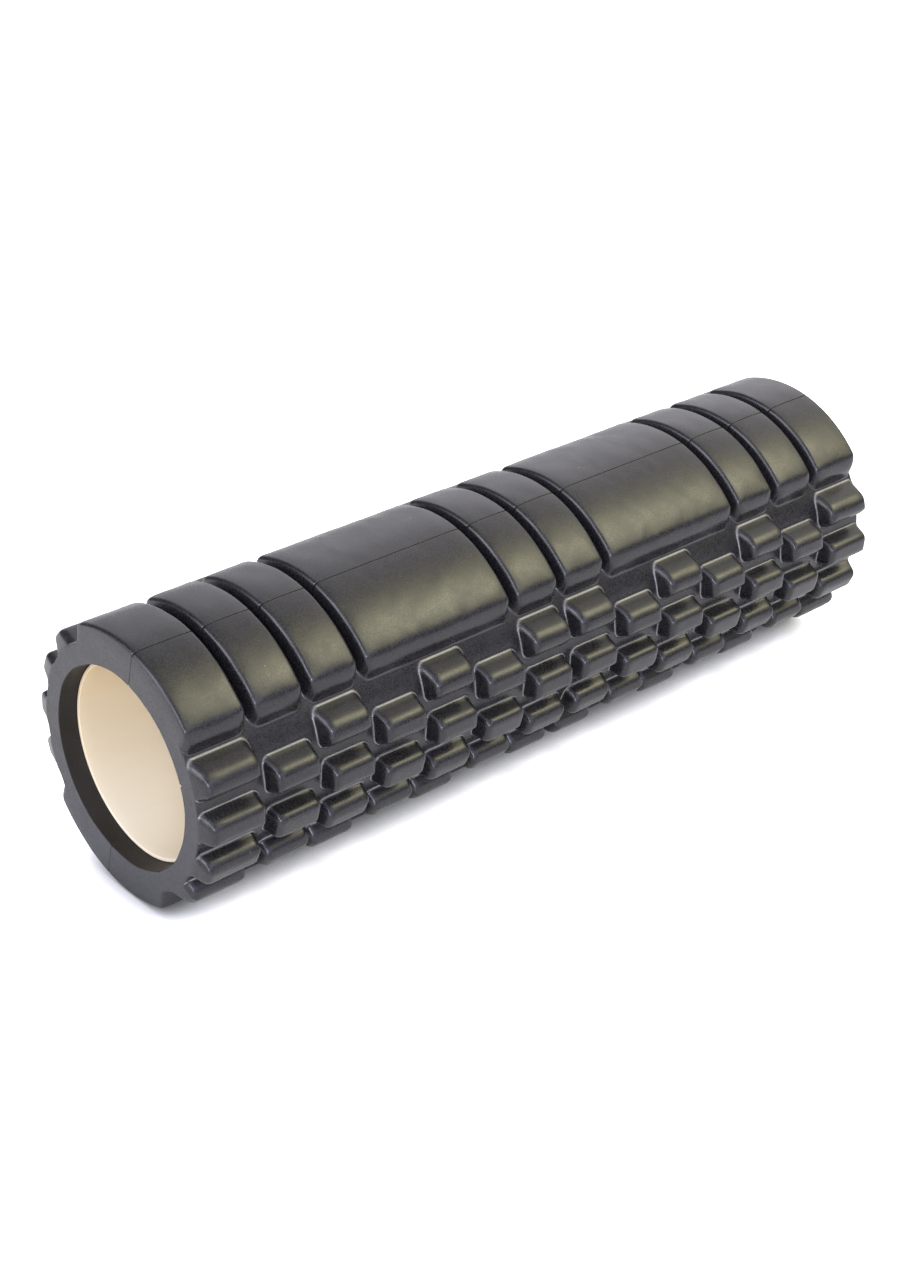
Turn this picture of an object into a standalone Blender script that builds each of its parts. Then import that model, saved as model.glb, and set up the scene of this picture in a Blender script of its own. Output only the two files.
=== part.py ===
"""Foam roller with a grid tread: a rigid tube inside two moulded foam half shells.

The origin is the middle of the roller, on its axis. +X runs along the axis and
+Z is up. Both half shells come from one mould: the front one faces -Y and a
little down, and the rear one is the front one turned half a turn about the axis.

Each shell is described in its own frame, where the mould opens along +Z. An
angle phi is measured about the axis from the mould's opening direction, growing
towards -Y, so a shell runs from phi = -90 to phi = +90 degrees, seam to seam.
Metres and degrees throughout.
"""

import math

import bmesh
import bpy
from mathutils import Vector

# Foam and tube
LENGTH = 0.450
OUTER_R = 0.0700  # over the tops of the pads
FLOOR_R = 0.0605  # groove floor
BORE_R = 0.0500  # hole through the foam
GLUE_GAP = 0.0003  # between the tube and the foam, and at each seam
TUBE_WALL = 0.0018
TUBE_LENGTH = 0.4305  # the tube ends inside the foam's end faces
TUBE_CHAMFER = 0.0004
SEAM_DEG = 105.0  # direction of one seam about X, from +Y towards +Z

# Tread pads, in columns along the axis, parted by grooves one pitch apart
COLUMNS = 14
PITCH = 0.03165
CHAMFER = 0.0016  # along the top edges of the pads
ROOT_DEPTH = 0.0005  # how far a pad reaches below the groove floor
ROOT_R = FLOOR_R - ROOT_DEPTH
END_STEP = 0.0003  # how far in from the end face the last pads stand at the floor

# Bands cross each seam. Their widths are in columns, from the -X end.
BAND_WIDTHS = (1, 1, 1, 3, 1, 1, 3, 1, 1, 1)
BAND_TOP_DEG = 50.35  # phi of a band's end at its top
BAND_FLOOR_DEG = 44.6  # phi of a band's end at the groove floor
BAND_GAP_TOP = 0.0027  # half the groove between bands, at the top
BAND_GAP_FLOOR = 0.0015  # and at the floor
BAND_END_TOP = 0.0010  # how far in from the end face the last band's top stands

# Blocks fill the middle of each shell. Columns alternate between two layouts,
# and both halves of the length start and end with the first.
ROW_STEP_DEG = 10.3
FIRST_LAYOUT = (-3, -1, 1, 3)  # rows, in steps from the mould's middle
SECOND_LAYOUT = (-2, 0, 2)
# Steps from the middle: the row's top edges, as angles from the row's centre
# towards the mould's middle and away from it.
ROW_EDGES_DEG = {0: (5.55, 5.55), 1: (4.85, 5.25), 2: (4.15, 5.35), 3: (4.45, 3.85)}
DRAFT_DEG = 5.0  # of walls facing away from the mould's middle, from its opening direction
SPREAD_DEG = 2.2  # how much further round a wall facing the middle reaches at the floor
BLOCK_GAP_TOP = 0.0039  # half the groove between blocks, at the top
BLOCK_GAP_FLOOR = 0.0022  # and at the floor
BLOCK_END_TOP = 0.0028  # how far in from the end face the last block's top stands

# Overshoot that the seam cutter takes away
SHELL_PAST_DEG = 3.0  # how far the plain shell runs past each seam
BAND_PAST_DEG = 2.5  # how far the bands do
CUTTER_OVERHANG = 0.02  # beyond each end face

# Steps round the axis
SHELL_STEP_DEG = 5.0
TUBE_STEPS = 96
BAND_STEPS = 8
BLOCK_STEPS = 2


def clear_scene():
    for obj in list(bpy.data.objects):
        bpy.data.objects.remove(obj, do_unlink=True)


# Materials


def material(name, colour, roughness):
    made = bpy.data.materials.new(name)
    made.use_nodes = True
    shader = made.node_tree.nodes["Principled BSDF"]
    shader.inputs["Base Color"].default_value = (*colour, 1.0)
    shader.inputs["Roughness"].default_value = roughness
    shader.inputs["Metallic"].default_value = 0.0
    return made


def black_foam():
    return material("black_foam", colour=(0.022, 0.021, 0.023), roughness=0.48)


def cream_plastic():
    return material("cream_plastic", colour=(0.78, 0.70, 0.56), roughness=0.5)


# Shared geometry


def finished(shape, name):
    """Moves a bmesh into a new mesh and frees it."""
    mesh = bpy.data.meshes.new(name)
    shape.to_mesh(mesh)
    shape.free()
    return mesh


def on_shell(x, radius, phi):
    """The point of a shell's own frame at this place along the axis, radius and angle."""
    angle = math.radians(phi)
    return Vector((x, -radius * math.sin(angle), radius * math.cos(angle)))


def between(ends, share):
    return ends[0] + (ends[1] - ends[0]) * share


def turned(profile, start, sweep, steps):
    """Spins a closed profile of (x, radius) points about the axis into a closed solid."""
    spun = bmesh.new()
    verts = [spun.verts.new(on_shell(x, radius, start)) for x, radius in profile]
    edges = [spun.edges.new(pair) for pair in zip(verts, verts[1:] + verts[:1])]
    bmesh.ops.spin(
        spun,
        geom=verts + edges,
        cent=(0, 0, 0),
        axis=(1, 0, 0),
        angle=math.radians(sweep),
        steps=steps,
        use_duplicate=False,
    )
    if sweep >= 360.0:
        bmesh.ops.remove_doubles(spun, verts=spun.verts[:], dist=1e-6)
    else:
        rims = [edge for edge in spun.edges if edge.is_boundary]
        bmesh.ops.holes_fill(spun, edges=rims, sides=len(profile))
    bmesh.ops.recalc_face_normals(spun, faces=spun.faces[:])
    return spun


# Tread pads


def root_from_floor(top, floor):
    """Carries a straight wall on from the outer radius and the floor to the pad's root."""
    return floor + (floor - top) * ROOT_DEPTH / (OUTER_R - FLOOR_R)


def drafted_root(phi_top, side):
    """The phi at the pad's root of a wall that starts at phi_top on the outer radius.

    The wall follows the mould's opening direction, opened by the draft on the
    side it faces: +1 faces growing phi and -1 faces falling phi.
    """
    slope = side * math.tan(math.radians(DRAFT_DEG))
    up = OUTER_R * math.cos(math.radians(phi_top))
    across = OUTER_R * math.sin(math.radians(phi_top))
    # The wall is the line across = offset - slope * height; it meets the root circle.
    offset = across + slope * up
    square = 1.0 + slope * slope
    root = math.sqrt((offset * slope) ** 2 - square * (offset**2 - ROOT_R**2))
    height = (offset * slope + root) / square
    return math.degrees(math.atan2(offset - slope * height, height))


def is_chamfered(edge, bare_side):
    """Whether an edge of the unshaped pad runs round its top and isn't on the bare side."""
    start, end = (vert.co for vert in edge.verts)
    if min(start.z, end.z) < 0.5:
        return False
    on_x_side, on_phi_side = (
        abs(start[axis] - end[axis]) < 1e-6 and abs(start[axis]) > 0.999 for axis in (0, 1)
    )
    return on_x_side or (on_phi_side and start.y * bare_side <= 0)


def add_pad(pads, x_top, x_root, phi_top, phi_root, steps, bare_side=0):
    """Adds one closed tapered pad: a strip extruded into a box, then laid on the shell.

    bare_side is the end in phi, -1 or +1, whose top edge gets no chamfer; 0 is neither.
    """
    pad = bmesh.new()
    bmesh.ops.create_grid(pad, x_segments=1, y_segments=steps, size=1.0)
    raised = bmesh.ops.extrude_face_region(pad, geom=pad.faces[:])["geom"]
    for item in raised:
        if isinstance(item, bmesh.types.BMVert):
            item.co.z = 1.0
    bmesh.ops.recalc_face_normals(pad, faces=pad.faces[:])
    edges = [edge for edge in pad.edges if is_chamfered(edge, bare_side)]

    for vert in pad.verts:
        along = 0.5 + 0.5 * vert.co.x
        around = 0.5 + 0.5 * vert.co.y
        if vert.co.z > 0.5:
            vert.co = on_shell(between(x_top, along), OUTER_R, between(phi_top, around))
        else:
            vert.co = on_shell(between(x_root, along), ROOT_R, between(phi_root, around))
    bmesh.ops.recalc_face_normals(pad, faces=pad.faces[:])
    bmesh.ops.bevel(
        pad,
        geom=edges,
        offset=CHAMFER,
        offset_type="OFFSET",
        segments=1,
        affect="EDGES",
        clamp_overlap=True,
    )
    bmesh.ops.triangulate(pad, faces=pad.faces[:])
    bmesh.ops.recalc_face_normals(pad, faces=pad.faces[:])
    mesh = finished(pad, "pad")
    pads.from_mesh(mesh)
    bpy.data.meshes.remove(mesh)


def column_edge(index):
    """Where the column of this index starts along the axis, counted from the -X end."""
    if index == 0:
        return -LENGTH / 2
    if index == COLUMNS:
        return LENGTH / 2
    return (index - COLUMNS / 2) * PITCH


def span_along(first, last, gap_top, gap_floor, end_top):
    """A pad's reach along the axis at its top and its root, between two column edges."""
    top, root = [], []
    for index, inward in ((first, 1), (last, -1)):
        at_end = index in (0, COLUMNS)
        high = column_edge(index) + inward * (end_top if at_end else gap_top)
        low = column_edge(index) + inward * (END_STEP if at_end else gap_floor)
        top.append(high)
        root.append(root_from_floor(high, low))
    return top, root


def add_bands(pads):
    end_root = root_from_floor(BAND_TOP_DEG, BAND_FLOOR_DEG)
    past = 90.0 + BAND_PAST_DEG
    first = 0
    for width in BAND_WIDTHS:
        x_top, x_root = span_along(
            first, first + width, BAND_GAP_TOP, BAND_GAP_FLOOR, BAND_END_TOP
        )
        for side in (-1, 1):
            phi_top = sorted((side * BAND_TOP_DEG, side * past))
            phi_root = sorted((side * end_root, side * past))
            add_pad(pads, x_top, x_root, phi_top, phi_root, BAND_STEPS, bare_side=side)
        first += width


def block_span_around(row):
    """A block's reach in phi at its top and at its root."""
    centre = row * ROW_STEP_DEG
    inner, outer = ROW_EDGES_DEG[abs(row)]
    low, high = (outer, inner) if row < 0 else (inner, outer)
    top = (centre - low, centre + high)
    root = []
    for phi, side in zip(top, (-1, 1)):
        faces_middle = row * side < 0
        if faces_middle:
            root.append(root_from_floor(phi, phi + side * SPREAD_DEG))
        else:
            root.append(drafted_root(phi, side))
    return top, root


def add_blocks(pads):
    for column in range(COLUMNS):
        from_end = min(column, COLUMNS - 1 - column)
        x_top, x_root = span_along(
            column, column + 1, BLOCK_GAP_TOP, BLOCK_GAP_FLOOR, BLOCK_END_TOP
        )
        for row in FIRST_LAYOUT if from_end % 2 == 0 else SECOND_LAYOUT:
            phi_top, phi_root = block_span_around(row)
            add_pad(pads, x_top, x_root, phi_top, phi_root, BLOCK_STEPS)


def pads_mesh():
    pads = bmesh.new()
    add_bands(pads)
    add_blocks(pads)
    return finished(pads, "tread_pads")


# Shell, seam cutter and tube


def shell_mesh():
    """The plain half ring of foam, run a little past both seams."""
    half = LENGTH / 2
    profile = ((-half, BORE_R), (half, BORE_R), (half, FLOOR_R), (-half, FLOOR_R))
    sweep = 180.0 + 2 * SHELL_PAST_DEG
    ring = turned(profile, -sweep / 2, sweep, round(sweep / SHELL_STEP_DEG))
    bmesh.ops.triangulate(ring, faces=ring.faces[:])
    return finished(ring, "foam_shell")


def seam_cutter_mesh():
    """A block that takes away everything past the seams, and half a glue line."""
    block = bmesh.new()
    bmesh.ops.create_cube(block, size=1.0)
    for vert in block.verts:
        vert.co.x *= LENGTH + 2 * CUTTER_OVERHANG
        vert.co.y *= 4 * OUTER_R
        vert.co.z = GLUE_GAP / 2 if vert.co.z > 0 else -2 * OUTER_R
    return finished(block, "seam_cutter")


def tube_mesh():
    """The tube, chamfered at both ends, inside and out."""
    outer = BORE_R - GLUE_GAP
    inner = outer - TUBE_WALL
    end, cut = TUBE_LENGTH / 2, TUBE_CHAMFER
    profile = (
        (-end, inner + cut),
        (-end + cut, inner),
        (end - cut, inner),
        (end, inner + cut),
        (end, outer - cut),
        (end - cut, outer),
        (-end + cut, outer),
        (-end, outer - cut),
    )
    mesh = finished(turned(profile, 0.0, 360.0, TUBE_STEPS), "core_tube")
    mesh.shade_smooth()
    mesh.set_sharp_from_angle(angle=math.radians(30))
    return mesh


# Objects


def placed(name, mesh, parent=None, turn=0.0):
    obj = bpy.data.objects.new(name, mesh)
    bpy.context.scene.collection.objects.link(obj)
    obj.parent = parent
    obj.rotation_euler = (math.radians(turn), 0.0, 0.0)
    return obj


def helper(name, mesh, parent, turn):
    obj = placed(name, mesh, parent, turn)
    obj.hide_render = True
    obj.display_type = "WIRE"
    return obj


def boolean(obj, name, operation, other):
    added = obj.modifiers.new(name, "BOOLEAN")
    added.operation = operation
    added.solver = "EXACT"
    added.object = other


def add_foam_halves(roller):
    """Two half shells that share their meshes, half a turn apart."""
    shell, pads, cutter = shell_mesh(), pads_mesh(), seam_cutter_mesh()
    foam = black_foam()
    shell.materials.append(foam)
    pads.materials.append(foam)
    for name, turn in (("foam_half_front", SEAM_DEG), ("foam_half_rear", SEAM_DEG + 180.0)):
        half = placed(name, shell, roller, turn)
        boolean(half, "tread", "UNION", helper(name + "_pads", pads, roller, turn))
        boolean(half, "seam", "DIFFERENCE", helper(name + "_cutter", cutter, roller, turn))


def add_core_tube(roller):
    mesh = tube_mesh()
    mesh.materials.append(cream_plastic())
    placed("core_tube", mesh, roller)


def build():
    clear_scene()
    roller = placed("roller", None)
    add_foam_halves(roller)
    add_core_tube(roller)


build()
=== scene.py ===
"""A foam massage roller on a pale floor.

The roller's axis is X, centred on the origin, with the floor touching its tread below.
Two moulded half shells of dark foam, front (towards -Y) and rear, wrap a cream tube.
Sizes are in millimetres unless noted, and meshes are scaled to metres when they are made.
"""

import math

import bmesh
import bpy
import numpy as np
from mathutils import Matrix, Vector


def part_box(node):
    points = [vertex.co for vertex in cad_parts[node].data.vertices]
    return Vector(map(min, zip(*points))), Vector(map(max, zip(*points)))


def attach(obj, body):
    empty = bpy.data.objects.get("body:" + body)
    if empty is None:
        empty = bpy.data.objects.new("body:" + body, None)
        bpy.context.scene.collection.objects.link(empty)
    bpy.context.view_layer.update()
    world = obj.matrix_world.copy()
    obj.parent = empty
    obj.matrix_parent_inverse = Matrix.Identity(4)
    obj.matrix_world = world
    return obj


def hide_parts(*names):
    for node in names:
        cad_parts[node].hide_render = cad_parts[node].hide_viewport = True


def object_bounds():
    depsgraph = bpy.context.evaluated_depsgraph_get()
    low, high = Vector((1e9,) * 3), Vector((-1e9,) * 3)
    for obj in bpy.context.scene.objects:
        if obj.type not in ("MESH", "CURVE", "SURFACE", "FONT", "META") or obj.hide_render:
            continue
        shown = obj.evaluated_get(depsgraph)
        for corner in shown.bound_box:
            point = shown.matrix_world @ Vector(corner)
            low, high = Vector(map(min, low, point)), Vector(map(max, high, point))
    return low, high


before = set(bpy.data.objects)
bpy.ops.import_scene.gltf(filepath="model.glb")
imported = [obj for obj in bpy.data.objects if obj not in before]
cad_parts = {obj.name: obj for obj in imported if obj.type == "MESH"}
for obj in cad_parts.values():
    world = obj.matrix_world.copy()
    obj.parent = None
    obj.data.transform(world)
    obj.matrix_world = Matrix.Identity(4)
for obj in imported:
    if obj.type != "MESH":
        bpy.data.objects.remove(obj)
cad_lo, cad_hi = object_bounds()
tube_lo, tube_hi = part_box("core_tube")

MILLIMETRE = 0.001

# Overall sizes. Length and tube come from the frame's own boxes.
HALF_LENGTH = (cad_hi.x - cad_lo.x) / 2 / MILLIMETRE
TUBE_HALF = (tube_hi.x - tube_lo.x) / 2 / MILLIMETRE
TUBE_RADIUS = (tube_hi.z - tube_lo.z) / 2 / MILLIMETRE
TOP_RADIUS = 70.0
GROOVE_RADIUS = 60.5  # the floor of the grooves
TREAD = TOP_RADIUS - GROOVE_RADIUS
BORE_RADIUS = TUBE_RADIUS + 0.3
PITCH = 31.65
COLUMNS = 14
SEAM_HALF = 0.15
MOULD_DEG = {"front": 195.0, "rear": 15.0}  # opening direction, from +Y towards +Z

# Bands lie along the seams. Each is some columns wide.
BAND_WIDTHS = (1, 1, 1, 3, 1, 1, 3, 1, 1, 1)
BAND_TOP_DEG, BAND_FOOT_DEG = 50.35, 44.6
BAND_LEAN_RADIUS = 65.0  # where the lean of a band's end wall is measured
BAND_GAP = (1.5, 2.7)  # half the groove at its floor and at the top
BAND_END = (0.0, 0.15)  # how far the last bands stand in from the end face, floor and top

# Blocks stand in rows between the bands.
BLOCK_GAP = (2.2, 3.9)
BLOCK_END = (0.05, 2.4)
ROW_STEP = 10.3  # degrees
# Row from the mould's middle: degrees from its centre to its inner and outer edges.
ROW_EDGES = {0: (5.55, 5.55), 1: (4.85, 5.25), 2: (4.15, 5.35), 3: (4.45, 3.85)}
DRAFT = math.tan(math.radians(5.0))  # of block walls that face away from the mould's middle
SPREAD = 2.2  # degrees a wall that faces the middle gains from its top to its foot

# Roundings, and the widths over which one blends into another
BAND_ROUND = 1.7
BAND_END_ROUND = 4.6
BAND_CORNER = 5.0
BAND_BLEND = 5.0
BLOCK_ROUND = 2.6  # across the axis
BLOCK_ROW_ROUND = 3.2  # along the axis, facing away from the mould's middle
BLOCK_INNER_ROUND = 4.7  # along the axis, facing the middle
BLOCK_CORNER = 3.5
BLOCK_BLEND = 2.5
FOOT_ROUND = 1.2
END_ROUND = 0.6
SEAM_ROUND = 0.30
SEAM_NOTCH = 0.75  # extra rounding where the seam crosses a band's edge
BAND_CROWN, BLOCK_CROWN = 0.55, 0.15  # how far a top falls towards its edges
CROWN_REACH = 9.0


# ----------------------------------------------------------------------------
# The tread as an implicit surface, in one shell's own frame:
# x runs along the axis, y along the mould's opening direction, z across it.
# Angles are taken round the axis from y towards z.
# ----------------------------------------------------------------------------
def rounded_corner(first, second, radius):
    """How far past two half spaces' shared corner, rounded to radius."""
    return np.hypot(np.maximum(first + radius, 0), np.maximum(second + radius, 0))


def round_and(first, second, radius):
    """Where two half spaces meet, with the corner rounded."""
    flat = np.minimum(-radius, np.maximum(first, second))
    return flat + rounded_corner(first, second, radius)


def round_or(first, second, radius):
    """Two solids joined with a fillet."""
    return -round_and(-first, -second, radius)


def plan(first, second, radius):
    """A rectangle's outline with its corners rounded."""
    flat = np.minimum(np.maximum(first, second) + radius, 0)
    return flat + rounded_corner(first, second, radius) - radius


def crown(outline, fall):
    return fall * (1 - np.clip(-outline / CROWN_REACH, 0, 1)) ** 2


def column_edge(i):
    if i == 0:
        return -HALF_LENGTH
    if i == COLUMNS:
        return HALF_LENGTH
    return (i - COLUMNS / 2) * PITCH


def x_walls(x, radius, columns, gap, end):
    """Signed distance past the two walls that face along the axis."""
    rise = (radius - GROOVE_RADIUS) / TREAD
    past = []
    for index, inward in zip(columns, (1, -1)):
        foot, top = end if index in (0, COLUMNS) else gap
        wall = column_edge(index) + inward * (foot + (top - foot) * rise)
        lean = math.cos(math.atan((top - foot) / TREAD))
        past.append(inward * (wall - x) * lean)
    return np.maximum(past[0], past[1])


class Band:
    def __init__(self, first, last, side):
        self.columns = (first, last)
        self.side = side

    def reach(self):
        """The range of angles it can touch, in degrees."""
        return sorted((self.side * (BAND_FOOT_DEG - 2.0), self.side * 90.0))

    def field(self, x, y, z):
        radius = np.hypot(y, z)
        angle = np.degrees(np.arctan2(z, y)) * self.side
        rise = (radius - GROOVE_RADIUS) / TREAD
        wall = BAND_FOOT_DEG + (BAND_TOP_DEG - BAND_FOOT_DEG) * rise
        run = math.radians(BAND_TOP_DEG - BAND_FOOT_DEG) * BAND_LEAN_RADIUS
        ends = np.radians(wall - angle) * radius * math.cos(math.atan(run / TREAD))
        sides = x_walls(x, radius, self.columns, BAND_GAP, BAND_END)
        outline = plan(sides, ends, BAND_CORNER)
        at_end = np.clip((ends - sides) / BAND_BLEND + 0.5, 0, 1)
        soft = BAND_ROUND + (BAND_END_ROUND - BAND_ROUND) * at_end
        return round_and(outline, radius - TOP_RADIUS + crown(outline, BAND_CROWN), soft)


class Block:
    def __init__(self, column, row):
        self.columns = (column, column + 1)
        centre = row * ROW_STEP
        inner, outer = ROW_EDGES[abs(row)]
        low, high = (outer, inner) if row < 0 else (inner, outer)
        # walls that face the mould's middle have the broader top edge
        self.rounds = [
            BLOCK_ROW_ROUND if row * side >= 0 else BLOCK_INNER_ROUND for side in (-1, 1)
        ]
        self.walls = []  # the side each faces, then z and y at its top and at its foot
        for edge, side in ((centre - low, -1), (centre + high, 1)):
            angle = math.radians(edge)
            z_top, y_top = TOP_RADIUS * math.sin(angle), TOP_RADIUS * math.cos(angle)
            if row * side < 0:
                foot = math.radians(edge + side * SPREAD)
                z_foot, y_foot = GROOVE_RADIUS * math.sin(foot), GROOVE_RADIUS * math.cos(foot)
            else:
                # where the wall's line, z = offset - slope * y, meets the groove's floor
                slope = side * DRAFT
                offset = z_top + slope * y_top
                scale = 1 + slope * slope
                inside = (offset * slope) ** 2 - scale * (offset * offset - GROOVE_RADIUS**2)
                y_foot = (offset * slope + math.sqrt(inside)) / scale
                z_foot = offset - slope * y_foot
            self.walls.append((side, z_top, y_top, z_foot, y_foot))

    def past(self, which, y, z):
        """Signed distance past one of the two walls along the axis."""
        side, z_top, y_top, z_foot, y_foot = self.walls[which]
        length = math.hypot(z_top - z_foot, y_top - y_foot)
        z_step, y_step = (z_top - z_foot) / length, (y_top - y_foot) / length
        return side * ((z - z_top) * y_step - (y - y_top) * z_step)

    def reach(self):
        """The range of angles it can touch, in degrees."""
        low, high = (math.degrees(math.asin(wall[3] / GROOVE_RADIUS)) for wall in self.walls)
        return low - 2.0, high + 2.0

    def field(self, x, y, z):
        radius = np.hypot(y, z)
        sides = x_walls(x, radius, self.columns, BLOCK_GAP, BLOCK_END)
        low, high = self.past(0, y, z), self.past(1, y, z)
        rows = np.maximum(low, high)
        outline = plan(sides, rows, BLOCK_CORNER)
        in_row = np.clip((rows - sides) / BLOCK_BLEND + 0.5, 0, 1)
        row_round = np.where(low > high, self.rounds[0], self.rounds[1])
        soft = BLOCK_ROUND + (row_round - BLOCK_ROUND) * in_row
        return round_and(outline, radius - TOP_RADIUS + crown(outline, BLOCK_CROWN), soft)


def all_pads():
    pads = []
    first = 0
    for width in BAND_WIDTHS:
        pads += [Band(first, first + width, side) for side in (-1, 1)]
        first += width
    for column in range(COLUMNS):
        even = min(column, COLUMNS - 1 - column) % 2 == 0
        pads += [Block(column, row) for row in ((-3, -1, 1, 3) if even else (-2, 0, 2))]
    return pads


# ----------------------------------------------------------------------------
# Grid lines gather where walls, fillets and corners are.
# ----------------------------------------------------------------------------
LEAST_STEP = 0.22  # between grid lines, in mm or degrees
DRAWN_DEG = 44.0  # blocks lie within this angle, bands beyond it
END_LINES = (0.0, 0.05, 0.14, 0.28, 0.44, 0.62)  # in from the end face
SEAM_LINES = (0.30, 0.20, 0.12, 0.06, 0.02, 0.0)  # away from the seam face
BAND_LINES = (  # degrees, over a band's end wall and its rounded edge
    44.05, 44.3, 44.55, 44.85, 45.3, 46.0, 46.8, 47.6, 48.3, 48.9, 49.4,
    49.85, 50.3, 50.75, 51.2, 51.7, 52.25, 52.85, 53.5, 54.3, 55.3, 56.6,
)
NEAR_SEAM_LINES = (88.9, 89.3, 89.5, 89.62)  # degrees


def thinned(values):
    kept = []
    for value in sorted(values):
        if not kept or value - kept[-1] >= LEAST_STEP:
            kept.append(value)
    return kept


def wall_lines(foot, top, fillet, head):
    """Offsets over one wall, from the groove inwards: fillet, wall, rounded edge."""
    lines = [foot - fillet * share for share in (1.0, 0.62, 0.3)]
    lines += [foot + (top - foot) * share for share in (0.0, 0.4, 0.8)]
    lines += [top + head * share for share in (0.06, 0.2, 0.4, 0.66, 1.0)]
    return lines


def x_lines():
    lines = []
    for k in range(1, COLUMNS):
        centre = column_edge(k)
        lines.append(centre)
        for side in (-1, 1):
            for gap, head in ((BAND_GAP, BAND_ROUND), (BLOCK_GAP, BLOCK_ROUND)):
                lines += [centre + side * off for off in wall_lines(*gap, FOOT_ROUND, head)]
    for side in (-1, 1):
        for end, head in ((BAND_END, BAND_ROUND), (BLOCK_END, BLOCK_ROUND)):
            offsets = wall_lines(*end, 0.0, head)
            lines += [side * (HALF_LENGTH - off) for off in offsets if off > 0.5]
    for column in range(COLUMNS):
        low, high = column_edge(column), column_edge(column + 1)
        lines += [low + (high - low) * share for share in (0.26, 0.38, 0.5, 0.62, 0.74)]
    lines = [x for x in thinned(lines) if abs(x) < HALF_LENGTH - 0.75]
    ends = [HALF_LENGTH - off for off in END_LINES]
    return np.array(sorted(lines + ends + [-x for x in ends]))


def angle_lines(pads):
    """Grid lines round the axis, in degrees."""
    lines = []
    for pad in pads:
        # the first two columns hold both layouts of rows
        if not isinstance(pad, Block) or pad.columns[0] > 1:
            continue
        for (side, top, _, foot, _), head in zip(pad.walls, pad.rounds):
            run = [foot + side * FOOT_ROUND * share for share in (1.0, 0.6, 0.28)]
            steps = 4 if abs(top - foot) < 2.0 else 9
            run += [foot + (top - foot) * share for share in np.linspace(0.0, 0.94, steps)]
            over_edge = (0.08, 0.18, 0.3, 0.45, 0.62, 0.82, 1.05, 1.3)
            run += [top - side * head * share for share in over_edge]
            lines += [math.degrees(math.asin(z / GROOVE_RADIUS)) for z in run]
    lines = [angle for angle in lines if abs(angle) < 43.9]
    lines += list(np.arange(-43.0, 43.1, 2.0))
    outer = [*BAND_LINES, *np.arange(58.5, 88.1, 2.5), *NEAR_SEAM_LINES]
    # the last lines follow the small rounding at the seam
    outer += [90.0 - math.degrees((SEAM_HALF + off) / TOP_RADIUS) for off in SEAM_LINES]
    outer = sorted(outer)
    return np.array([-angle for angle in reversed(outer)] + thinned(lines) + outer)


def ripple(x, y, z, waves, amplitude, seed):
    """A smooth, repeatable unevenness: a sum of a few plane waves."""
    local = np.random.default_rng(seed)
    total = np.zeros_like(x)
    for length in waves:
        for _ in range(4):
            wave = local.normal(size=3)
            wave = wave / np.linalg.norm(wave)
            wave = wave * (2 * math.pi / (length * local.uniform(0.75, 1.3)))
            phase = local.uniform(0, 6.28)
            total = total + np.sin(x * wave[0] + y * wave[1] + z * wave[2] + phase)
    return total * amplitude / (4 * len(waves)) ** 0.5


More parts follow.
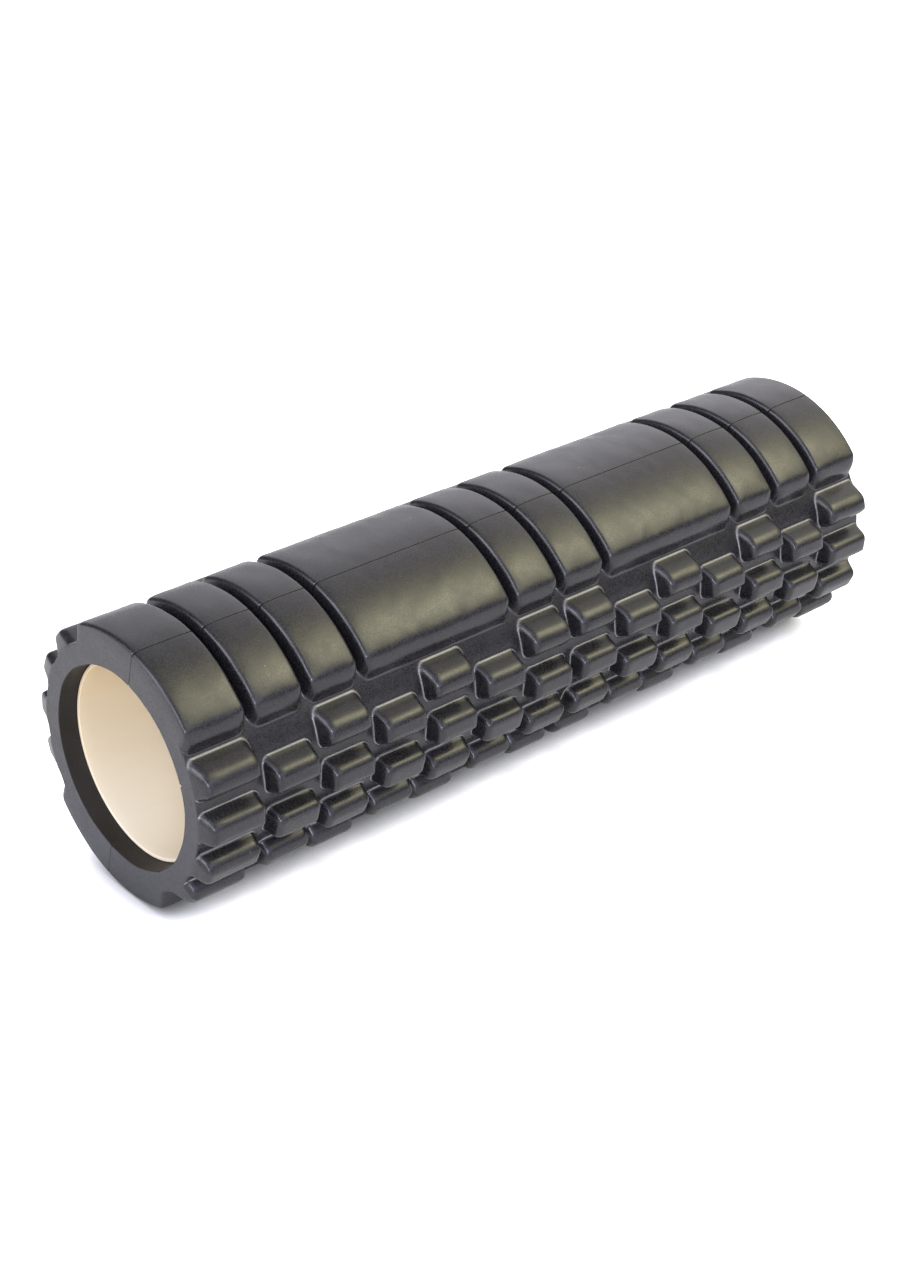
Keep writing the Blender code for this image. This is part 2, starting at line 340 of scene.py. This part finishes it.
def skin_surface():
    """The tread's outer skin for one shell, as grids of x, y, z, rise and foot line."""
    pads = all_pads()
    xs, degrees = x_lines(), angle_lines(pads)
    grid_x, grid_deg = np.meshgrid(xs, degrees, indexing="ij")
    angle = np.radians(grid_deg)
    foot_y, foot_z = GROOVE_RADIUS * np.cos(angle), GROOVE_RADIUS * np.sin(angle)
    # blocks rise along the mould's opening, bands along the radius
    drawn = np.abs(grid_deg) < DRAWN_DEG
    dir_y = np.where(drawn, 1.0, np.cos(angle))
    dir_z = np.where(drawn, 0.0, np.sin(angle))
    most = np.where(drawn, np.sqrt(TOP_RADIUS**2 - foot_z**2) - foot_y, TREAD)
    rise = np.zeros_like(grid_x)
    foot_line = np.zeros_like(grid_x)  # one in the middle of the fillet round each pad's foot

    def solve(cells, pad):
        """Height of the surface over the groove's floor, found by bisection."""
        x, from_y, from_z, step_y, step_z = (
            grid[cells] for grid in (grid_x, foot_y, foot_z, dir_y, dir_z)
        )
        low, high = np.full_like(x, -1.2), most[cells] + 0.2

        def parts(height):
            y, z = from_y + step_y * height, from_z + step_z * height
            past_end = np.abs(x) - HALF_LENGTH
            body = round_and(np.hypot(y, z) - GROOVE_RADIUS, past_end, END_ROUND)
            return body, None if pad is None else pad.field(x, y, z)

        for _ in range(26):
            middle = (low + high) / 2
            solid, raised = parts(middle)
            if raised is not None:
                solid = round_or(raised, solid, FOOT_ROUND)
            outside = np.maximum(solid, np.abs(x) - HALF_LENGTH) > 0
            high = np.where(outside, middle, high)
            low = np.where(outside, low, middle)
        if pad is not None:
            body, raised = parts(low)
            # this line carries the highlight painted along each pad's foot, fainter on bands
            line = np.exp(-(((raised - body) / 0.42) ** 2))
            line = line * np.clip((FOOT_ROUND - np.maximum(raised, body)) / 0.2, 0, 1)
            strength = 0.3 if isinstance(pad, Band) else 1.0
            foot_line[cells] = np.maximum(foot_line[cells], line * strength)
        return (low + high) / 2

    near_ends = np.where(np.abs(xs) > HALF_LENGTH - 1.5)[0]
    cells = np.ix_(near_ends, np.arange(len(degrees)))
    rise[cells] = solve(cells, None)
    for pad in pads:
        low, high = pad.reach()
        across = np.where((degrees >= low) & (degrees <= high))[0]
        # each pad owns its columns, up to the middle of the grooves
        start, stop = (column_edge(edge) for edge in pad.columns)
        along = np.where((xs >= start - 1e-6) & (xs <= stop + 1e-6))[0]
        cells = np.ix_(along, across)
        rise[cells] = np.maximum(rise[cells], solve(cells, pad))
    y, z = foot_y + dir_y * rise, foot_z + dir_z * rise

    # Round the edge at each seam, and further where it crosses a band's edge: a notch.
    radius = np.hypot(y, z)
    away = np.abs(y) - SEAM_HALF
    wide = SEAM_ROUND + SEAM_NOTCH * np.clip(1 - np.abs(rise / TREAD - 0.80) / 0.19, 0, 1)
    arc = wide**2 - (wide - np.clip(away, 0, wide)) ** 2
    at_seam = (away < wide) & (np.abs(grid_deg) > 85)
    drop = np.where(at_seam, wide - np.sqrt(np.maximum(arc, 0)), 0.0)
    factor = (radius - drop) / radius
    return grid_x, y * factor, z * factor, rise, foot_line


# ----------------------------------------------------------------------------
# Foam shells
# ----------------------------------------------------------------------------
def mesh_object(name, points, faces):
    """A smooth object from points in millimetres, its normals facing out."""
    mesh = bpy.data.meshes.new(name)
    mesh.from_pydata((points * MILLIMETRE).tolist(), [], faces)
    mesh.update()
    work = bmesh.new()
    work.from_mesh(mesh)
    bmesh.ops.recalc_face_normals(work, faces=work.faces[:])
    work.to_mesh(mesh)
    work.free()
    mesh.shade_smooth()
    obj = bpy.data.objects.new(name, mesh)
    bpy.context.scene.collection.objects.link(obj)
    return obj


def zipper(first, second, first_keys, second_keys):
    """Triangles between two chains of vertices, advanced in order of their keys."""
    faces, i, j = [], 0, 0
    while i < len(first) - 1 or j < len(second) - 1:
        first_left, second_done = i < len(first) - 1, j == len(second) - 1
        if second_done or (first_left and first_keys[i + 1] <= second_keys[j + 1]):
            faces.append((first[i], first[i + 1], second[j]))
            i += 1
        else:
            faces.append((first[i], second[j + 1], second[j]))
            j += 1
    return faces


# Small nicks in the hole's cut edge: world degrees round the axis, which end, depth,
# half width in degrees
NICKS = (
    (105.0, -1, 0.9, 1.2),
    (164.0, -1, 1.7, 1.0),
    (285.0, -1, 0.6, 1.2),
    (238.0, -1, 0.45, 2.0),
    (70.0, 1, 0.5, 1.6),
    (105.0, 1, 0.7, 1.2),
    (285.0, 1, 0.8, 1.2),
    (330.0, 1, 0.7, 1.5),
)
RING_RADII = (GROOVE_RADIUS - END_ROUND - 0.35, 58.6, 56.6, 54.0, 51.8, 50.75, 50.32)
BORE_DEPTHS = (0.22, 0.9, 3.0, 7.0)  # bore stations near each end; the rest are evenly spaced
SEEDS = {"front": 11, "rear": 23}
CUT_TAG, BORE_TAG, SEAM_TAG = 1, 2, 3


def lip_cut(angle, which, x):
    """How far the hand-cut edge of the hole strays from a circle, near each end."""
    depth = HALF_LENGTH - abs(x)
    fade = math.exp(-((depth / 5.5) ** 2))
    if fade < 0.02:
        return np.zeros_like(angle)
    side = -1 if x < 0 else 1
    turned = angle + math.radians(MOULD_DEG[which])
    stray = 0.16 * np.sin(5 * turned + side) + 0.13 * np.sin(8 * turned + 2.1)
    stray = stray + 0.07 * np.sin(17 * turned + 0.7 * side)
    out = (stray + 0.22) * fade
    for nick_deg, end, deep, wide in NICKS:
        if end == side:
            gap = (np.degrees(turned) - nick_deg + 180.0) % 360.0 - 180.0
            shape = np.clip(1 - np.abs(gap) / wide, 0, 1)
            out = out + deep * shape * math.exp(-((depth / 1.2) ** 2))
    return out


def polar(x, radius, angle):
    return np.stack([x, radius * np.cos(angle), radius * np.sin(angle)], -1)


class Shell:
    """Gathers one shell's vertices, their tags and its faces."""

    def __init__(self):
        self.points, self.tags, self.faces = [], [], []
        self.count = 0

    def add(self, points, tag):
        """Adds vertices under one tag or one each, and returns their indices."""
        size = points.size // 3
        made = np.arange(self.count, self.count + size).reshape(points.shape[:-1])
        self.points.append(points.reshape(-1, 3))
        self.tags.append(np.broadcast_to(np.ravel(tag).astype(float), (size,)))
        self.count += size
        return made

    def quads(self, index):
        corners = (index[:-1, :-1], index[1:, :-1], index[1:, 1:], index[:-1, 1:])
        self.faces += np.stack(corners, -1).reshape(-1, 4).tolist()


def uneven_skin(x, y, z, which):
    """The skin's points: moulded foam is never quite true, save at the seam and the ends."""
    seed = SEEDS[which]
    fade = np.clip((np.abs(y) - 0.4) / 6.0, 0, 1) * np.clip((HALF_LENGTH - np.abs(x)) / 4.0, 0, 1)
    bumpy = ripple(x, y, z, (55.0, 26.0, 13.0), 0.11, seed) * fade
    bumpy += ripple(x, y, z, (6.0, 4.0), 0.018, seed + 1) * fade
    inset = np.minimum(np.maximum(bumpy, -0.35) - 0.10, 0.0)
    return polar(x, np.hypot(y, z) + inset, np.arctan2(z, y))


def end_face(shell, which, side, rim, angle):
    """Slightly uneven rings from the skin's rim in to the bore; returns them, rim first."""
    chain = [rim]
    for ring in RING_RADII:
        wobble = 0.05 * np.sin(angle * 9 + ring) + 0.04 * np.sin(angle * 23 + 2 * ring + side)
        fade = min(1.0, (GROOVE_RADIUS - END_ROUND - ring) / 2.0)
        fade = fade * min(1.0, (ring - BORE_RADIUS) / 1.0)
        x = side * (HALF_LENGTH - 0.02 - np.abs(wobble) * fade)
        near_bore = max(0.0, 1 - (ring - BORE_RADIUS) / 2.0)
        radius = ring + lip_cut(angle, which, side * HALF_LENGTH) * near_bore
        chain.append(shell.add(polar(x, radius, angle), CUT_TAG))
    shell.quads(np.stack(chain, 0))
    return chain


def seam_face(shell, skin, skin_points, low_end, high_end, bore, bore_x):
    """One seam face, from the skin in to the bore. Each chain is one column of vertices."""
    xs = skin_points[:, 0]
    direction = skin_points[:, 1:]
    unit = direction / np.linalg.norm(direction, axis=1)[:, None]
    between = np.concatenate([xs[1:-1, None], unit[1:-1] * RING_RADII[1]], 1)
    inner = np.concatenate([[low_end[2]], shell.add(between, SEAM_TAG), [high_end[2]]])
    for i in range(1, len(skin) - 2):
        shell.faces.append((skin[i], skin[i + 1], inner[i + 1], inner[i]))
    # the two end cells hold the extra ring vertex
    shell.faces.append((skin[0], skin[1], inner[1], inner[0], low_end[1]))
    shell.faces.append((skin[-2], skin[-1], high_end[1], inner[-1], inner[-2]))
    low, high = low_end[3:], high_end[3:][::-1]
    keys = [xs[1] + 1e-4 * (k + 1) for k in range(len(low))]
    keys += [max(x, xs[1] + 1e-2) if x < 0 else min(x, xs[-2] - 1e-2) for x in bore_x]
    keys += [xs[-2] - 1e-4 * (len(high) - k) for k in range(len(high))]
    shell.faces += zipper(list(inner), low + list(bore) + high, list(xs), keys)


def foam_half(which, surface):
    """One closed half shell: skin, end faces, bore and seam faces."""
    grid_x, y, z, rise, foot_line = surface
    shell = Shell()
    skin_points = uneven_skin(grid_x, y, z, which)
    # the skin's rim and the pads' end walls are part of the cut end face
    skin = shell.add(skin_points, np.clip(1.25 - (HALF_LENGTH - np.abs(grid_x)) / 0.55, 0, 1))
    shell.quads(skin)

    angles = np.arctan2(skin_points[..., 2], skin_points[..., 1])
    ends = {
        side: end_face(shell, which, side, skin[row], angles[row]) for side, row in ((-1, 0), (1, -1))
    }

    # Bore: a plain cut surface behind the tube and an open lip at each end.
    middle = HALF_LENGTH - 14.0
    bore_x = np.array(
        [-HALF_LENGTH + depth for depth in BORE_DEPTHS]
        + list(np.linspace(-middle, middle, 23))
        + [HALF_LENGTH - depth for depth in reversed(BORE_DEPTHS)]
    )
    radius = np.stack([BORE_RADIUS + lip_cut(angles[0], which, x) for x in bore_x])
    across = np.repeat(bore_x[:, None], skin.shape[1], 1)
    bore = shell.add(polar(across, radius, angles[0]), BORE_TAG)
    shell.quads(bore)
    for side, row in ((-1, 0), (1, -1)):
        shell.quads(np.stack([ends[side][-1], bore[row]], 0))

    for column in (0, skin.shape[1] - 1):
        low_end, high_end = ([ring[column] for ring in ends[side]] for side in (-1, 1))
        seam_face(
            shell, skin[:, column], skin_points[:, column], low_end, high_end,
            bore[:, column], bore_x,
        )

    # Turn the shell from its own frame into place.
    x, y, z = np.concatenate(shell.points).T
    turn = math.radians(MOULD_DEG[which])
    turned_y = y * math.cos(turn) - z * math.sin(turn)
    turned_z = y * math.sin(turn) + z * math.cos(turn)
    faces = [tuple(int(i) for i in face) for face in shell.faces]
    obj = mesh_object("foam_skin_" + which, np.stack([x, turned_y, turned_z], -1), faces)
    obj.data.set_sharp_from_angle(angle=math.radians(38))

    beyond_skin = np.zeros(shell.count - skin.size)
    tags = np.concatenate(shell.tags)
    attributes = {
        "tread_height": np.concatenate([np.clip(rise.ravel() / TREAD, 0, 1.3), beyond_skin]),
        "foot_line": np.concatenate([foot_line.ravel(), beyond_skin]),
        "cut_face": np.where(tags <= CUT_TAG, tags, 0),
        "bore_face": tags == BORE_TAG,
    }
    for name, values in attributes.items():
        attribute = obj.data.attributes.new(name, "FLOAT", "POINT")
        attribute.data.foreach_set("value", values.astype(np.float32))
    return obj


# ----------------------------------------------------------------------------
# Tube
# ----------------------------------------------------------------------------
TUBE_WALL = 1.8
TUBE_EDGE = 0.4  # rounding of the cut edges
TUBE_SEGMENTS = 256
EDGE_STEPS = 4


def tube_piece():
    """The inner tube, with softened cut edges and a slight wave in its inner wall."""
    inner, outer = TUBE_RADIUS - TUBE_WALL, TUBE_RADIUS
    edge_x = TUBE_HALF - TUBE_EDGE

    def arc(x, radius, start, end):
        return [
            (x + TUBE_EDGE * math.cos(math.radians(a)), radius + TUBE_EDGE * math.sin(math.radians(a)))
            for a in np.linspace(start, end, EDGE_STEPS + 1)
        ]

    profile = np.array(  # x and radius
        arc(-edge_x, inner + TUBE_EDGE, 180, 270)
        + [(x, inner) for x in np.linspace(6 - TUBE_HALF, TUBE_HALF - 6, 24)]
        + arc(edge_x, inner + TUBE_EDGE, 270, 360)
        + arc(edge_x, outer - TUBE_EDGE, 0, 90)
        + [(x, outer) for x in np.linspace(TUBE_HALF - 20, 20 - TUBE_HALF, 6)]
        + arc(-edge_x, outer - TUBE_EDGE, 90, 180)
    )
    count = len(profile)
    x, radius = (np.repeat(values[:, None], TUBE_SEGMENTS, 1) for values in profile.T)
    angle = np.repeat((np.arange(TUBE_SEGMENTS) * 2 * math.pi / TUBE_SEGMENTS)[None], count, 0)
    wave = 0.05 * np.sin(3 * angle + x / 60.0) + 0.03 * np.sin(5 * angle - x / 35.0)
    radius = radius + np.where(radius < inner + 0.2, wave, 0)
    faces = []
    for i in range(count):
        here, after = i * TUBE_SEGMENTS, (i + 1) % count * TUBE_SEGMENTS
        for j in range(TUBE_SEGMENTS):
            k = (j + 1) % TUBE_SEGMENTS
            faces.append((here + j, here + k, after + k, after + j))
    return mesh_object("tube_wall", polar(x, radius, angle).reshape(-1, 3), faces)


# ----------------------------------------------------------------------------
# Materials
# ----------------------------------------------------------------------------
class Nodes:
    """A thin helper for writing the node tree of a material or a world."""

    def __init__(self, owner, output="ShaderNodeOutputMaterial"):
        owner.use_nodes = True
        self.owner = owner
        self.tree = owner.node_tree
        self.tree.nodes.clear()
        self.out = self.tree.nodes.new(output)

    def add(self, kind, inputs=None, **settings):
        """A node whose inputs, by name or place, are linked or set."""
        node = self.tree.nodes.new(kind)
        for key, value in settings.items():
            setattr(node, key, value)
        for key, value in (inputs or {}).items():
            if isinstance(value, bpy.types.NodeSocket):
                self.tree.links.new(value, node.inputs[key])
            else:
                node.inputs[key].default_value = value
        return node

    def finish(self, shader):
        self.tree.links.new(shader, self.out.inputs["Surface"])

    def principled(self, inputs):
        self.finish(self.add("ShaderNodeBsdfPrincipled", inputs).outputs["BSDF"])
        return self.owner

    def math(self, operation, *values):
        return self.add("ShaderNodeMath", dict(enumerate(values)), operation=operation).outputs[0]

    def plus(self, value, more):
        return self.math("ADD", value, more)

    def times(self, value, factor):
        return self.math("MULTIPLY", value, factor)

    def vector(self, operation, first, second, output="Vector"):
        node = self.add("ShaderNodeVectorMath", {0: first, 1: second}, operation=operation)
        return node.outputs[output]

    def mix(self, start, end, share):
        """From one colour to another."""
        sockets = {0: share}
        for place, colour in ((6, start), (7, end)):  # the node's colour inputs
            sockets[place] = (*colour, 1.0) if isinstance(colour, tuple) else colour
        return self.add("ShaderNodeMix", sockets, data_type="RGBA").outputs[2]

    def ramp(self, value, over, to=(0.0, 1.0)):
        """Maps one range onto another, clamped."""
        limits = {"From Min": over[0], "From Max": over[1], "To Min": to[0], "To Max": to[1]}
        return self.add("ShaderNodeMapRange", {"Value": value, **limits}).outputs["Result"]

    def coords(self):
        return self.add("ShaderNodeTexCoord").outputs["Object"]

    def noise(self, coords, scale, detail, rough):
        inputs = {"Vector": coords, "Scale": scale, "Detail": detail, "Roughness": rough}
        return self.add("ShaderNodeTexNoise", inputs).outputs["Fac"]

    def cells(self, coords, scale):
        inputs = {"Vector": coords, "Scale": scale, "Randomness": 1.0}
        return self.add("ShaderNodeTexVoronoi", inputs, feature="F1").outputs

    def attribute(self, name):
        return self.add("ShaderNodeAttribute", attribute_name=name).outputs["Fac"]

    def bump(self, height, strength, distance, **normal):
        """Bump over an earlier Normal, if one is given; distance in metres."""
        inputs = {"Height": height, "Strength": strength, "Distance": distance, **normal}
        return self.add("ShaderNodeBump", inputs).outputs["Normal"]


def foam_material():
    m = Nodes(bpy.data.materials.new("moulded_foam"))
    coords = m.coords()
    broad = m.noise(coords, scale=16.0, detail=3.0, rough=0.55)
    cloud = m.noise(coords, scale=70.0, detail=3.0, rough=0.6)
    mottle = m.noise(coords, scale=330.0, detail=2.0, rough=0.6)
    speckle = m.noise(coords, scale=1150.0, detail=1.0, rough=0.5)
    pores = m.cells(coords, scale=620.0)["Distance"]
    dust = m.cells(coords, scale=230.0)
    cut = m.attribute("cut_face")
    bore = m.attribute("bore_face")
    foot = m.attribute("foot_line")

    # colour: near black, with a fine speckle of lighter grains and a slow drift
    drift = m.ramp(broad, over=(0.35, 0.65))
    base = m.mix(start=(0.0042, 0.0040, 0.0052), end=(0.0064, 0.0060, 0.0072), share=drift)
    grains = m.ramp(speckle, over=(0.42, 0.66), to=(0.0, 0.45))
    base = m.mix(base, end=(0.026, 0.025, 0.029), share=grains)
    patches = m.ramp(mottle, over=(0.44, 0.70), to=(0.0, 0.30))
    base = m.mix(base, end=(0.017, 0.0165, 0.015), share=patches)
    # a painted highlight: the skin is made paler in the tight fillet round each pad's foot
    broken = m.ramp(cloud, over=(0.3, 0.6), to=(0.55, 1.0))
    painted_foot_highlight = m.times(m.ramp(foot, over=(0.15, 0.95)), broken)
    base = m.mix(base, end=(0.27, 0.265, 0.25), share=m.times(painted_foot_highlight, factor=0.8))
    # a few pale flecks of dust in the surface
    seed = m.add("ShaderNodeSeparateColor", {"Color": dust["Color"]}).outputs["Red"]
    spot = m.ramp(dust["Distance"], over=(0.085, 0.04))
    fleck = m.times(spot, m.ramp(seed, over=(0.955, 0.965)))
    base = m.mix(base, end=(0.30, 0.29, 0.27), share=m.times(fleck, factor=0.55))
    # cut faces show the foam's fine open grain
    grain = m.ramp(pores, over=(0.12, 0.42))
    face = m.mix(start=(0.0085, 0.0083, 0.0092), end=(0.024, 0.0235, 0.0245), share=grain)
    base = m.mix(base, face, share=cut)
    stain = m.ramp(cloud, over=(0.35, 0.7))
    wall = m.mix(start=(0.0055, 0.0042, 0.0030), end=(0.0120, 0.0095, 0.0072), share=stain)
    base = m.mix(base, wall, share=bore)

    rough = m.ramp(cloud, over=(0.3, 0.7), to=(0.27, 0.33))
    rough = m.plus(rough, m.ramp(speckle, over=(0.3, 0.7), to=(-0.035, 0.045)))
    rough = m.plus(rough, m.times(cut, factor=0.16))
    rough = m.plus(rough, m.times(bore, factor=0.30))

    normal = m.bump(speckle, strength=0.16, distance=0.00010)
    normal = m.bump(mottle, strength=0.10, distance=0.00025, Normal=normal)
    open_grain = m.times(grain, m.plus(cut, bore))
    normal = m.bump(open_grain, strength=0.35, distance=0.00015, Normal=normal)
    return m.principled({
        "Base Color": base,
        "Roughness": rough,
        "Normal": normal,
        "IOR": 1.48,
        "Specular IOR Level": 0.5,
    })


def tube_material():
    m = Nodes(bpy.data.materials.new("cream_tube"))
    coords = m.coords()
    along_axis = {"Vector": coords, "Scale": (0.06, 1.0, 1.0)}
    stretched = m.add("ShaderNodeMapping", along_axis).outputs["Vector"]
    streak = m.noise(stretched, scale=260.0, detail=3.0, rough=0.55)
    broad = m.noise(coords, scale=18.0, detail=2.0, rough=0.5)
    height = m.add("ShaderNodeSeparateXYZ", {"Vector": coords}).outputs["Z"]
    # painted light and shade: paler cream towards the bottom, where light falls in, deeper and warmer
    # towards the top; heights in metres
    painted_shade_upward = m.ramp(height, over=(-0.045, 0.040))
    base = m.mix(start=(0.655, 0.600, 0.465), end=(0.660, 0.505, 0.280), share=painted_shade_upward)
    patches = m.ramp(broad, over=(0.3, 0.7), to=(0.0, 0.35))
    base = m.mix(base, end=(0.665, 0.555, 0.370), share=patches)
    streaks = m.ramp(streak, over=(0.35, 0.7), to=(0.0, 0.22))
    base = m.mix(base, end=(0.690, 0.620, 0.480), share=streaks)
    return m.principled({
        "Base Color": base,
        "Roughness": m.ramp(streak, over=(0.3, 0.7), to=(0.40, 0.50)),
        "Normal": m.bump(streak, strength=0.12, distance=0.0002),
        "IOR": 1.5,
    })


FLOOR_GLOW = 0.74  # the floor is lit a little past white, as a studio sweep is
FLOOR_BOUNCE = 0.08
CONTACT_REACH = 0.018  # metres
# the floor's colour and glow fade near the roller, a painted contact shadow
CONTACT_POWERS = (1.3, 1.7)  # how sharply colour and glow fade near the roller


def floor_material():
    m = Nodes(bpy.data.materials.new("pale_floor"))
    cloud = m.noise(m.coords(), scale=3.0, detail=2.0, rough=0.5)
    clouded = m.ramp(cloud, over=(0.3, 0.7))
    base = m.mix(start=(0.85, 0.853, 0.86), end=(0.87, 0.873, 0.88), share=clouded)
    seen = m.add("ShaderNodeLightPath").outputs["Is Camera Ray"]
    # a painted contact shadow: close to the roller the floor's colour is darkened and its extra light
    # fades out
    occlusion = m.add("ShaderNodeAmbientOcclusion", {"Distance": CONTACT_REACH}, samples=8)
    open_sky = occlusion.outputs["AO"]
    painted_shadow_colour, painted_shadow_glow = (m.math("POWER", open_sky, power) for power in CONTACT_POWERS)
    reached = m.times(painted_shadow_glow, FLOOR_GLOW)
    return m.principled({
        "Base Color": m.mix(start=(0.0, 0.0, 0.0), end=base, share=painted_shadow_colour),
        "Roughness": 0.9,
        "Specular IOR Level": 0.0,
        "Emission Color": (0.99, 0.99, 1.0, 1.0),
        "Emission Strength": m.plus(m.times(seen, reached), FLOOR_BOUNCE),
    })


# ----------------------------------------------------------------------------
# Pieces
# ----------------------------------------------------------------------------
def fit(obj, material, replaced):
    obj.data.materials.append(material)
    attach(obj, "root")
    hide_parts(replaced)


surface = skin_surface()
foam = foam_material()
for which in ("front", "rear"):
    fit(foam_half(which, surface), foam, "foam_half_" + which)
fit(tube_piece(), tube_material(), "core_tube")

# ----------------------------------------------------------------------------
# Stage: a pale floor, soft light and the camera
# ----------------------------------------------------------------------------
FLOOR_HALF = 9  # metres

# Soft, far lights: azimuth and elevation in degrees, sharpness, strength, colour.
SOFT_LIGHTS = (
    (164.0, 29.0, 20.0, 6.6, (1.00, 0.97, 1.06)),
    (-34.0, 44.0, 19.0, 4.2, (1.00, 0.94, 0.56)),
    (-84.0, 27.0, 17.0, 2.6, (0.88, 0.88, 1.25)),
    (28.0, 33.0, 6.0, 1.55, (0.99, 0.95, 0.95)),
    (-150.0, 67.0, 16.0, 2.1, (0.90, 0.93, 1.15)),
    (-150.0, 6.0, 22.0, 2.0, (1.00, 0.96, 0.75)),
    (-126.0, 18.0, 150.0, 36.0, (0.92, 0.96, 1.16)),
    (-150.0, 35.0, 160.0, 22.0, (0.92, 0.96, 1.16)),
    (178.0, 46.0, 160.0, 15.0, (0.94, 0.97, 1.12)),
    (-36.0, 43.0, 90.0, 7.0, (1.00, 0.95, 0.70)),
    (50.0, 22.0, 10.0, 0.7, (0.92, 0.94, 1.10)),
)
SKY = (0.06, 0.06, 0.07)

SENSOR_WIDTH = 36.0
FOCAL_LENGTH = 61.26384375
CAMERA_PLACE = (-0.67135, -0.72954, 0.52548)  # metres
CAMERA_AXES = (
    (0.745880, -0.666072, 0.003361),  # right
    (0.316426, 0.358771, 0.878156),  # up
    (-0.586121, -0.653935, 0.478363),  # back
)


def add_floor():
    z = -TOP_RADIUS * MILLIMETRE
    corners = [(x * FLOOR_HALF, y * FLOOR_HALF, z) for x, y in ((-1, -1), (1, -1), (1, 1), (-1, 1))]
    mesh = bpy.data.meshes.new("floor")
    mesh.from_pydata(corners, [], [(0, 1, 2, 3)])
    floor = bpy.data.objects.new("floor", mesh)
    floor.data.materials.append(floor_material())
    bpy.context.scene.collection.objects.link(floor)


def add_world():
    """Soft lobes of light over a dim sky; the camera itself sees plain white."""
    world = bpy.data.worlds.new("studio")
    w = Nodes(world, output="ShaderNodeOutputWorld")
    looking = w.add("ShaderNodeTexCoord").outputs["Generated"]
    glow = w.vector("ADD", SKY, (0.0, 0.0, 0.0))
    for azimuth, elevation, sharpness, strength, colour in SOFT_LIGHTS:
        turn, tilt = math.radians(azimuth), math.radians(elevation)
        level = math.cos(tilt)
        towards = (level * math.cos(turn), level * math.sin(turn), math.sin(tilt))
        along = w.vector("DOT_PRODUCT", looking, towards, output="Value")
        short = w.math("SUBTRACT", along, 1.0)
        fall = w.math("EXPONENT", w.times(short, sharpness))
        inputs = {0: tuple(strength * channel for channel in colour), "Scale": fall}
        light = w.add("ShaderNodeVectorMath", inputs, operation="SCALE").outputs["Vector"]
        glow = w.vector("ADD", glow, light)
    lit, backdrop = (
        w.add("ShaderNodeBackground", {"Color": colour, "Strength": 1.0}).outputs[0]
        for colour in (glow, (1.0, 1.0, 1.0, 1.0))
    )
    seen = w.add("ShaderNodeLightPath").outputs["Is Camera Ray"]
    w.finish(w.add("ShaderNodeMixShader", {0: seen, 1: lit, 2: backdrop}).outputs[0])
    bpy.context.scene.world = world


def add_camera():
    lens = bpy.data.cameras.new("camera")
    lens.sensor_width = SENSOR_WIDTH
    lens.sensor_fit = "AUTO"
    lens.lens = FOCAL_LENGTH
    camera = bpy.data.objects.new("camera", lens)
    bpy.context.scene.collection.objects.link(camera)
    pose = Matrix(CAMERA_AXES).transposed().to_4x4()
    pose.translation = Vector(CAMERA_PLACE)
    camera.matrix_world = pose
    bpy.context.scene.camera = camera


add_floor()
add_world()
add_camera()
bpy.context.scene.view_settings.view_transform = "Standard"
bpy.context.scene.view_settings.look = "None"

bpy.context.view_layer.update()
